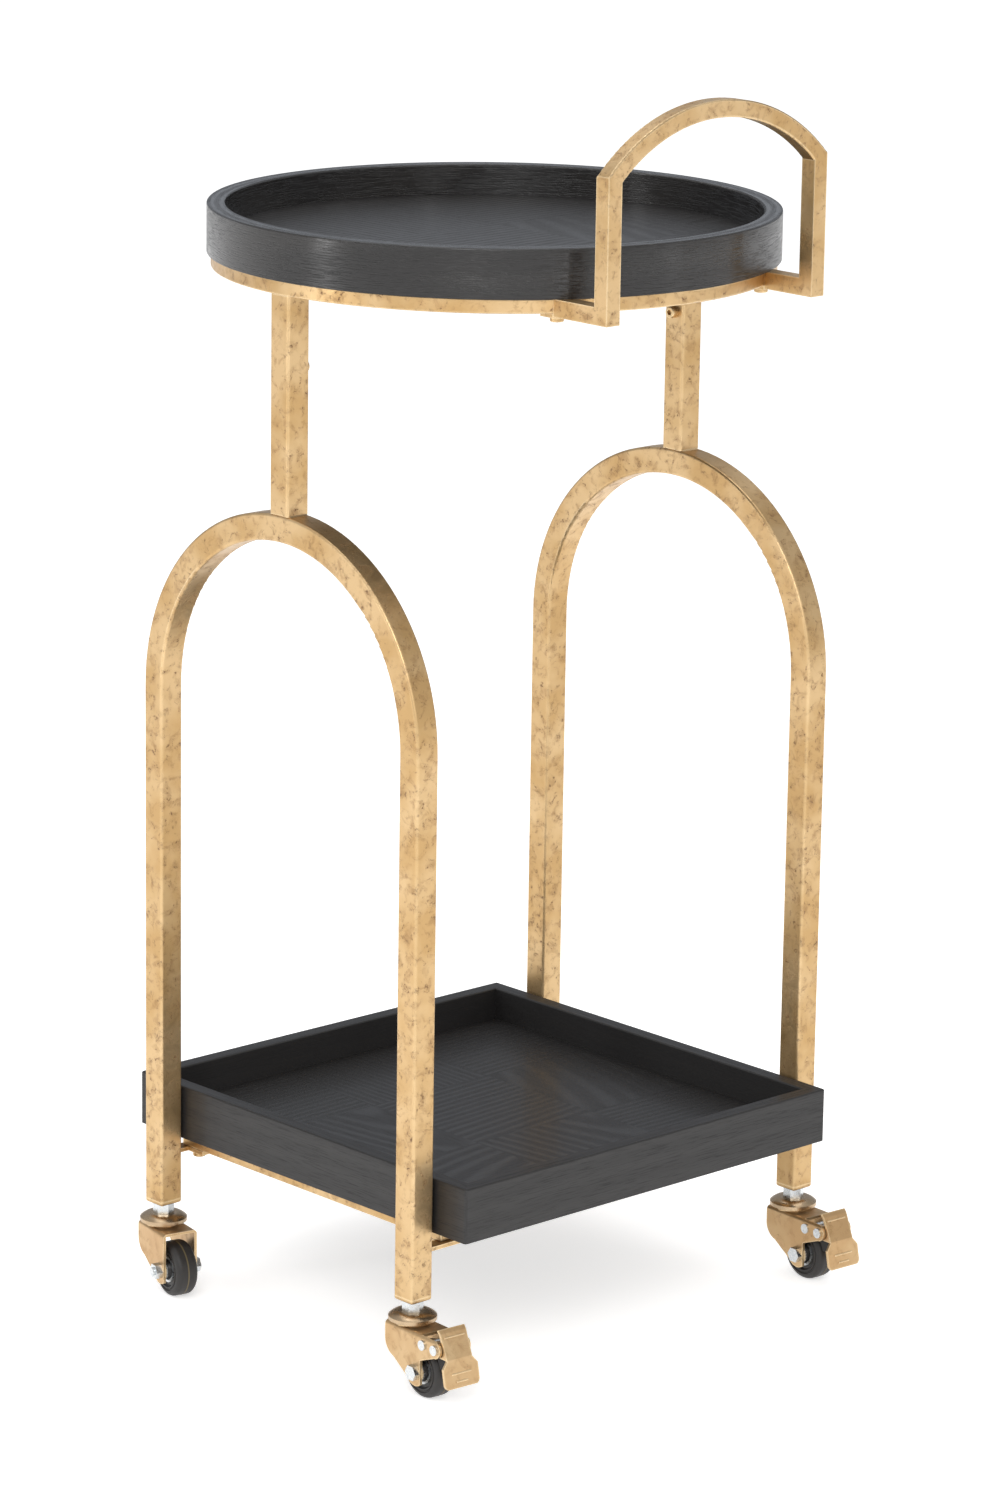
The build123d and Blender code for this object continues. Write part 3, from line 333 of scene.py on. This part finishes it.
# %% Oak for the floors
def oak_floor(name, leaf_mm, start, matt):
    """Veneer leaves of this size. start is the corner that the first leaf is laid from."""
    material, tree, shader = start_material(name, LACQUERED_WOOD)
    place = add(tree, "ShaderNodeTexCoord", {}, "Object")
    laid = add(tree, "ShaderNodeVectorMath", {0: place, 1: start}, operation="SUBTRACT")
    count = add(tree, "ShaderNodeVectorMath", {0: laid, 1: (per_metre(leaf_mm),) * 3}, operation="MULTIPLY")
    flat = add(tree, "ShaderNodeVectorMath", {0: count, 1: (1.0, 1.0, 0.0)}, operation="MULTIPLY")
    leaf = add(tree, "ShaderNodeVectorMath", {0: flat}, operation="FLOOR")
    chance = add(tree, "ShaderNodeTexWhiteNoise", {"Vector": leaf}, "Color", noise_dimensions="3D")
    numbers = add(tree, "ShaderNodeSeparateXYZ", {"Vector": leaf}).node.outputs
    total = add(tree, "ShaderNodeMath", {0: numbers["X"], 1: numbers["Y"]}, operation="ADD")
    turned = add(tree, "ShaderNodeMath", {0: total, 1: 2.0}, operation="FLOORED_MODULO")
    axes = add(tree, "ShaderNodeSeparateXYZ", {"Vector": laid}).node.outputs
    straight = add(tree, "ShaderNodeCombineXYZ", {"X": axes["X"], "Y": axes["Y"], "Z": axes["Z"]})
    crossed = add(tree, "ShaderNodeCombineXYZ", {"X": axes["Y"], "Y": axes["X"], "Z": axes["Z"]})
    either = add(tree, "ShaderNodeMix", {0: turned, 4: straight, 5: crossed}, 1, data_type="VECTOR")
    moved = add(tree, "ShaderNodeVectorMath", {0: chance, 1: (1.7, 0.24, 0.03)}, operation="MULTIPLY")
    grain = add(tree, "ShaderNodeVectorMath", {0: either, 1: moved}, operation="SUBTRACT")
    oak_grain(tree, shader, grain, matt, 0.8, 0.15)
    # A joint 0.8 mm wide, dark and open, along every edge of every leaf.
    part = add(tree, "ShaderNodeVectorMath", {0: count}, operation="FRACTION")
    sides = add(tree, "ShaderNodeSeparateXYZ", {"Vector": part}).node.outputs
    near = add(tree, "ShaderNodeMath", {0: sides["X"], 1: sides["Y"]}, operation="MINIMUM")
    joint = add(tree, "ShaderNodeMath", {0: near, 1: 0.8 / leaf_mm}, operation="LESS_THAN")
    wood = shader.inputs["Base Color"].links[0].from_socket
    jointed = add(tree, "ShaderNodeMix", {0: joint, 6: wood, 7: paint("0D0C0C")}, 2, data_type="RGBA")
    tree.links.new(jointed, shader.inputs["Base Color"])
    return material


lower_low, lower_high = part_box("lower_tray_floor")
top_low, top_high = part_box("top_tray_floor")
LEAF_MM = 112
lower_oak = oak_floor("black_stained_oak_square_floor", LEAF_MM, lower_low, 0.44)
top_oak = oak_floor("black_stained_oak_round_floor", LEAF_MM, top_low, 0.36)
print("floors", lower_oak.name, top_oak.name)

# %% [markdown]
# ## Rubber and hub plastic
# The tyres are moulded in black rubber. A thin paler line runs round the middle of the tread,
# where the two halves of the mould met: a painted highlight standing in for the light caught by
# the low mould ridge. It is found by measuring along each axle from the wheel's middle, so every
# wheel needs its own copy with its own axle.


# %% Tyre rubber
def tyre_rubber(name, centre, axle):
    """Black rubber with a painted highlight along a moulding line square to this axle."""
    material, tree, shader = start_material(name, {"IOR": 1.52, "Specular IOR Level": 0.45})
    place = add(tree, "ShaderNodeTexCoord", {}, "Object")
    out = add(tree, "ShaderNodeVectorMath", {0: place, 1: centre}, operation="SUBTRACT")
    aside = add(tree, "ShaderNodeVectorMath", {0: out, 1: axle}, "Value", operation="DOT_PRODUCT")
    distance = add(tree, "ShaderNodeMath", {0: aside}, operation="ABSOLUTE")
    # The paler line is a painted highlight of the mould ridge, not a colour of the rubber.
    line = add(tree, "ShaderNodeMapRange", {"Value": distance, "From Min": 0.0007, "From Max": 0.0004})
    grit = add(tree, "ShaderNodeTexNoise", {"Vector": place, "Scale": per_metre(2), "Detail": 5.0})
    rubber = add(tree, "ShaderNodeMix", {
        0: grit, 6: paint("1B1918"), 7: paint("2C2927")}, 2, data_type="RGBA")
    colour = add(tree, "ShaderNodeMix", {0: line, 6: rubber, 7: paint("5C5138")}, 2, data_type="RGBA")
    tree.links.new(colour, shader.inputs["Base Color"])
    rough = add(tree, "ShaderNodeMapRange", {"Value": grit, "To Min": 0.42, "To Max": 0.62})
    tree.links.new(rough, shader.inputs["Roughness"])
    bump = add(tree, "ShaderNodeBump", {"Height": grit, "Strength": 0.15, "Distance": 0.0001})
    tree.links.new(bump, shader.inputs["Normal"])
    return material


CASTERS = ("front_left", "front_right", "back_left", "back_right")
for caster in CASTERS:
    spin = joints[f"{caster}_spin"]
    rubber = tyre_rubber(f"moulded_rubber_{caster}", spin["pos_m"], spin["axis"])
    wear([f"{caster}_tyre"], rubber)


# %% Hub plastic and brake rubber
def moulded(name, light, dark, low, high):
    """Moulded black plastic or rubber: two close shades, and a fine grain from the mould."""
    material, tree, shader = start_material(name, {"IOR": 1.46})
    place = add(tree, "ShaderNodeTexCoord", {}, "Object")
    grain = add(tree, "ShaderNodeTexNoise", {"Vector": place, "Scale": per_metre(1.5), "Detail": 4.0})
    shade = add(tree, "ShaderNodeMix", {0: grain, 6: paint(dark), 7: paint(light)}, 2, data_type="RGBA")
    tree.links.new(shade, shader.inputs["Base Color"])
    rough = add(tree, "ShaderNodeMapRange", {"Value": grain, "To Min": low, "To Max": high})
    tree.links.new(rough, shader.inputs["Roughness"])
    bump = add(tree, "ShaderNodeBump", {"Height": grain, "Strength": 0.12, "Distance": 0.0001})
    tree.links.new(bump, shader.inputs["Normal"])
    return material


hub_plastic = moulded("moulded_nylon_hub", "262423", "161514", 0.30, 0.45)
shoe_rubber = moulded("moulded_brake_rubber", "2A2826", "1A1817", 0.55, 0.70)
wear([f"{caster}_hub" for caster in CASTERS], hub_plastic)
wear([name for name in nodes if name.endswith("_brake_shoe")], shoe_rubber)

# %% [markdown]
# ## Dress the other CAD parts
# The remaining parts take their finish from what they are: wood for the trays, zinc for the
# hardware, and gold lacquer for everything else.

# %% Dress the CAD parts
wear(["top_tray_rim"], rim_oak)
wear(["top_tray_floor"], top_oak)
wear(["lower_tray_floor"], lower_oak)
wear(["lower_tray_front_rail", "lower_tray_back_rail"], rail_x)
wear(["lower_tray_left_rail", "lower_tray_right_rail"], rail_y)
zinc_parts = ["caster_stems", "rivet_nuts", "bearing_balls", "top_tray_screws", "lower_tray_screws"]
zinc_parts += [name for name in nodes if name.endswith(("_axle", "_hub_rings", "_brake_pins"))]
wear(zinc_parts, zinc)
wear(["swivel_covers"], cover_bronze)
wear([name for name in nodes if name.endswith(("_fork", "_pedal"))], pressed_gold)
tubes = ["left_arch", "right_arch", "left_post", "right_post", "post_spigots", "post_bolts"]
tubes += ["top_ring", "ring_tabs", "handle", "handle_tabs", "handle_bolts", "leg_end_caps"]
tubes += ["leg_tabs", "leg_tab_bolts"] + [f"lower_frame_{s}" for s in ("left", "right", "front", "back")]
wear(tubes, tube_gold)

# %% [markdown]
# ## Weld fillets
# Each post is welded to the crown of its arch. The joint is ground flush on the wide faces, but
# on the narrow faces a small concave fillet of weld stays in the corner. Its section is a corner
# with a hollow curve across it, so it is drawn as points on a quarter circle and then pulled
# out to the width of the flat between the tube's rounded edges.


# %% Weld fillets
def prism(name, section, axis, half, material):
    """Pull a closed section out by half each way along an axis, and add it to the scene."""
    mesh = bmesh.new()
    near = [mesh.verts.new(point - axis * half) for point in section]
    far = [mesh.verts.new(point + axis * half) for point in section]
    count = len(section)
    for i in range(count):
        mesh.faces.new((near[i], near[(i + 1) % count], far[(i + 1) % count], far[i]))
    mesh.faces.new(near)
    mesh.faces.new(far)
    bmesh.ops.recalc_face_normals(mesh, faces=mesh.faces)
    data = bpy.data.meshes.new(name)
    mesh.to_mesh(data)
    mesh.free()
    data.materials.append(material)
    piece = bpy.data.objects.new(name, data)
    bpy.context.scene.collection.objects.link(piece)
    return piece


WELD = 0.0028                   # leg of the fillet
WELD_SINK = 0.0004              # how far it sits inside the post
CROWN_SINK = 0.0008             # the arch's crown curves down this far before the fillet ends
EDGE_ROUND = 0.002              # rounding of the tube's edges
QUARTER = [i * math.pi / 12 for i in range(7)]
for side in ("left", "right"):
    post_low, post_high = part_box(f"{side}_post")
    arch_low, arch_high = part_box(f"{side}_arch")
    middle_x = (post_low.x + post_high.x) / 2
    half_flat = (post_high.x - post_low.x) / 2 - EDGE_ROUND
    for end, face in (("front", post_low.y), ("back", post_high.y)):
        out = -1 if end == "front" else 1
        hollow = [(1 - math.cos(a), 1 - math.sin(a)) for a in QUARTER]
        corner = Vector((middle_x, face - out * WELD_SINK, arch_high.z - CROWN_SINK))
        section = [corner] + [corner + Vector((0, out * WELD * u, WELD * v)) for u, v in hollow]
        weld = prism(f"weld_{side}_{end}", section, Vector((1, 0, 0)), half_flat, tube_gold)
        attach(weld, "cart_frame")
print("weld fillets 4, leg", WELD * 1000, "mm")

# %% [markdown]
# ## Stamped ribs on the brake pedals
# Pressed pedals have shallow ribs stamped into them, which stiffen the sheet and give a shoe
# some grip. Each rib is a low bar with a rounded top. The pedal hangs from a hinge whose place
# and axis come with the model, so the ribs are set out from that hinge, in the same distances
# that shaped the sheet: back along the caster, and up. All of them are in metres.

# %% Pedal ribs
SHOULDER = Vector((0.0020, 0.0110))     # corners of the sheet's inner face
WAIST = Vector((0.0094, -0.0055))
FOOT = Vector((0.0134, -0.0250))
SHEET = 0.0016
RIB_RISE = 0.0005                       # crest of a rib above the sheet
RIB_SINK = 0.0004                       # how far its flat back sits inside the sheet
RIBS = (                                # name, stretch of sheet, share of it, half width and height
    ("shoulder", SHOULDER, WAIST, 0.16, 0.0088, 0.0006),
    ("grip", WAIST, FOOT, 0.50, 0.0085, 0.0007),
    ("toe", WAIST, FOOT, 0.78, 0.0050, 0.0007),
)


def pedal_rib(name, hinge, start, end, share, half_width, half_height):
    """A low rounded bar across the outer face of the pedal's sheet."""
    axis = Vector(hinge["axis"])
    trail = Vector((axis.y, -axis.x, 0))
    down = (end - start).normalized()
    down = trail * down.x + Vector((0, 0, down.y))
    outward = axis.cross(down).normalized()
    if outward.dot(trail) < 0:
        outward = -outward
    spot = start.lerp(end, share)
    middle = Vector(hinge["pos_m"]) + trail * spot.x + Vector((0, 0, spot.y)) + outward * SHEET
    arc = [i * math.pi / 8 for i in range(9)]
    section = [middle + down * half_height * math.cos(a) + outward * RIB_RISE * math.sin(a) for a in arc]
    section += [middle + down * half_height * way - outward * RIB_SINK for way in (-1, 1)]
    rib = prism(name, section, axis, half_width, pressed_gold)
    rounding = rib.modifiers.new("rounding", "BEVEL")
    rounding.width, rounding.segments = 0.0003, 2
    return rib


for caster in ("front_left", "front_right"):
    for place, start, end, share, half_width, half_height in RIBS:
        name = f"{caster}_pedal_{place}_rib"
        rib = pedal_rib(name, joints[f"{caster}_brake"], start, end, share, half_width, half_height)
        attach(rib, f"{caster}_brake")
print("pedal ribs", 2 * len(RIBS))

# %% [markdown]
# ## The camera
# The camera stands well back with a long lens, so that the legs stay nearly parallel. It looks
# from the cart's left front corner, a little above the upper tray. A tiny roll keeps it from
# standing stiffly level.

# %% Camera
middle = (cad_low + cad_high) / 2
CAMERA_FROM_MIDDLE = Vector((-2.585, -2.794, 0.925))      # metres
YAW, PITCH, ROLL = 0.7477, 0.2490, 0.0150                 # radians
forward = Vector((
    math.sin(YAW) * math.cos(PITCH), math.cos(YAW) * math.cos(PITCH), -math.sin(PITCH)))
camera = bpy.data.objects.new("camera", bpy.data.cameras.new("camera"))
camera.location = middle + CAMERA_FROM_MIDDLE
camera.rotation_mode = "QUATERNION"
camera.rotation_quaternion = forward.to_track_quat("-Z", "Y") @ Quaternion((0, 0, 1), ROLL)
camera.data.sensor_width = 36.0
camera.data.lens = 132.83
bpy.context.scene.collection.objects.link(camera)
bpy.context.scene.camera = camera
print("camera at", [round(v, 3) for v in camera.location])

# %% [markdown]
# ## Floor and light
# Gold and black lacquer show what surrounds them, so the studio matters as much as the paint. A
# pale floor and a pale sky give the gold something bright to reflect, and large soft lamps shape
# it. The sky is a little darker and cooler behind the cart, which keeps the black trays black.


# %% Floor
def pale_floor():
    """A matt floor, with slight unevenness so that it is not one flat tone."""
    material, tree, shader = start_material("matt_white_floor_paint", {
        "Roughness": 0.9, "Emission Color": paint("FFFFFF"), "Emission Strength": 0.55})
    place = add(tree, "ShaderNodeTexCoord", {}, "Object")
    cloud = add(tree, "ShaderNodeTexNoise", {"Vector": place, "Scale": per_metre(300), "Detail": 2.0})
    shade = add(tree, "ShaderNodeMix", {
        0: cloud, 6: paint("F4F3F1"), 7: paint("F7F6F5")}, 2, data_type="RGBA")
    tree.links.new(shade, shader.inputs["Base Color"])
    return material


FLOOR_HALF = 30.0
floor_mesh = bpy.data.meshes.new("floor")
corners = [(-FLOOR_HALF, -FLOOR_HALF, 0), (FLOOR_HALF, -FLOOR_HALF, 0)]
corners += [(FLOOR_HALF, FLOOR_HALF, 0), (-FLOOR_HALF, FLOOR_HALF, 0)]
floor_mesh.from_pydata(corners, [], [(0, 1, 2, 3)])
floor_mesh.materials.append(pale_floor())
floor = bpy.data.objects.new("floor", floor_mesh)
floor.location.z = cad_low.z
bpy.context.scene.collection.objects.link(floor)
print("floor", 2 * FLOOR_HALF, "m square")

# %% Sky
world = bpy.data.worlds.new("studio")
bpy.context.scene.world = world
world.use_nodes = True
sky = world.node_tree
background = sky.nodes["Background"]
direction = add(sky, "ShaderNodeTexCoord", {}, "Generated")
BEHIND_THE_CART = (0.66, 0.71, 0.0)
behind = add(sky, "ShaderNodeVectorMath", {
    0: direction, 1: BEHIND_THE_CART}, "Value", operation="DOT_PRODUCT")
shaded = add(sky, "ShaderNodeMapRange", {"Value": behind, "From Min": -0.2, "From Max": 0.9})
tint = add(sky, "ShaderNodeMix", {0: shaded, 6: paint("F2F2F2"), 7: paint("BCC1C9")}, 2, data_type="RGBA")
sky.links.new(tint, background.inputs["Color"])
background.inputs["Strength"].default_value = 0.78
print("sky", world.name)


# %% Lamps
def softbox(name, offset, width, height, watts):
    """A rectangular lamp at this offset from the cart's middle, turned to face it."""
    lamp = bpy.data.objects.new(name, bpy.data.lights.new(name, "AREA"))
    lamp.data.shape = "RECTANGLE"
    lamp.data.size = width
    lamp.data.size_y = height
    lamp.data.energy = watts
    lamp.location = middle + Vector(offset)
    lamp.rotation_mode = "QUATERNION"
    lamp.rotation_quaternion = (-Vector(offset)).to_track_quat("-Z", "Y")
    bpy.context.scene.collection.objects.link(lamp)
    return lamp


softbox("key", (-2.0, -1.6, 1.6), 1.4, 1.4, 30)
softbox("left_strip", (-2.4, 0.9, 0.4), 0.3, 2.2, 9)
softbox("rim_glint", (-0.6, -2.6, 0.7), 0.12, 1.6, 6)
softbox("right_strip", (1.4, -2.4, 0.5), 0.25, 2.2, 2)
softbox("overhead", (0.3, 0.3, 2.6), 2.4, 2.4, 30)
bpy.context.scene.view_settings.view_transform = "Standard"
